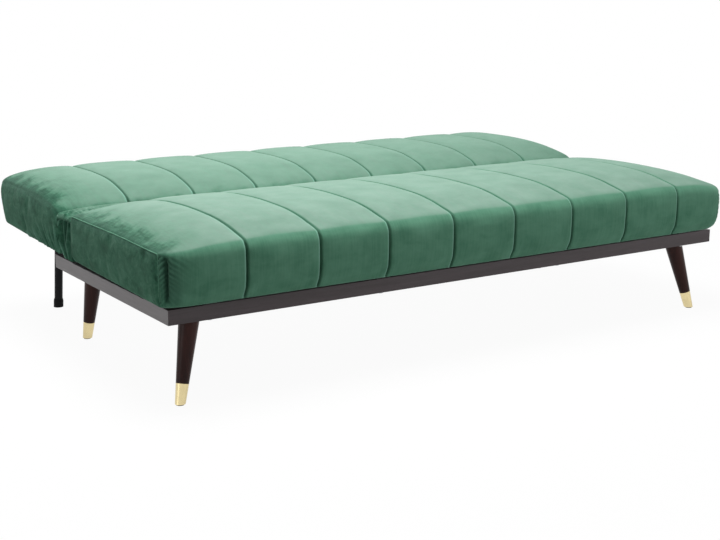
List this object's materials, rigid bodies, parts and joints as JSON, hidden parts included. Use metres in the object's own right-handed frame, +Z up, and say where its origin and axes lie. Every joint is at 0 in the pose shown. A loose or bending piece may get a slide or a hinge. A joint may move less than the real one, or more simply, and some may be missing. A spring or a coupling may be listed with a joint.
{
  "type": "futon sofa bed",
  "caption": "Click-clack sofa bed folded flat, with channel-stitched seat and back cushions on a wood rail frame with splayed tapered legs.",
  "frame": {"origin": "floor level, under the centre of the whole flat bed", "axes": "+X along the bed, -Y to the seat's front, +Y to the back's outer edge, +Z up"},
  "size_m": [1.8, 1.142, 0.4379],
  "materials": {
    "rail_wood": "satin dark brown stain",
    "leg_wood": "satin dark red-brown stain",
    "ferrule_brass": "brushed, pale gold",
    "black_steel": "black powder coat",
    "black_plastic": "matt",
    "foot_rubber": "matt black",
    "velvet": "green velvet, light sheen",
    "foam": "open-cell foam",
    "black_cloth": "non-woven black cloth",
    "zinc_steel": "zinc plated"
  },
  "bodies": {
    "base": {"front_rail": "rail_wood", "rear_rail": "rail_wood", "left_rail": "rail_wood", "right_rail": "rail_wood", "seat_bearer": "rail_wood", "left_cross_rail": "rail_wood", "right_cross_rail": "rail_wood", "corner_blocks": "rail_wood", "leg_plates": "black_steel", "leg_bolts": "zinc_steel", "front_left_leg": "leg_wood", "front_right_leg": "leg_wood", "rear_left_leg": "leg_wood", "rear_right_leg": "leg_wood", "front_left_ferrule": "ferrule_brass", "front_right_ferrule": "ferrule_brass", "rear_left_ferrule": "ferrule_brass", "rear_right_ferrule": "ferrule_brass", "leg_glides": "black_plastic", "seat_spacers": "black_plastic", "seat_bolts": "zinc_steel", "seat_front_tube": "black_steel", "seat_rear_tube": "black_steel", "seat_left_tube": "black_steel", "seat_right_tube": "black_steel", "seat_cross_tubes": "black_steel", "seat_springs": "zinc_steel", "seat_foam": "foam", "seat_cover": "velvet", "seat_dust_cloth": "black_cloth", "left_inner_cheek": "zinc_steel", "right_inner_cheek": "zinc_steel", "left_outer_cheek": "zinc_steel", "right_outer_cheek": "zinc_steel", "left_pivot_pin": "zinc_steel", "right_pivot_pin": "zinc_steel", "left_pawl_pin": "zinc_steel", "right_pawl_pin": "zinc_steel", "seat_mechanism_bolts": "zinc_steel"},
    "back": {"back_inner_tube": "black_steel", "back_outer_tube": "black_steel", "back_left_tube": "black_steel", "back_right_tube": "black_steel", "back_cross_tubes": "black_steel", "back_springs": "zinc_steel", "back_foam": "foam", "back_cover": "velvet", "back_dust_cloth": "black_cloth", "left_support_leg": "black_steel", "right_support_leg": "black_steel", "left_rubber_foot": "foot_rubber", "right_rubber_foot": "foot_rubber", "left_back_bracket": "zinc_steel", "right_back_bracket": "zinc_steel", "back_mechanism_bolts": "zinc_steel"},
    "left_pawl": {"left_pawl": "zinc_steel"},
    "right_pawl": {"right_pawl": "zinc_steel"}
  },
  "joints": [
    {"name": "back_fold", "type": "hinge", "parent": "base", "child": "back", "pos_m": [0, 0.077, 0.338], "axis": [1, 0, 0], "range_deg": [0, 72]},
    {"name": "left_pawl_swing", "type": "hinge", "parent": "base", "child": "left_pawl", "pos_m": [-0.857, 0.06398, 0.29601], "axis": [1, 0, 0], "range_deg": [-7.5, 0]},
    {"name": "right_pawl_swing", "type": "hinge", "parent": "base", "child": "right_pawl", "pos_m": [0.857, 0.06398, 0.29601], "axis": [1, 0, 0], "range_deg": [-7.5, 0]}
  ]
}
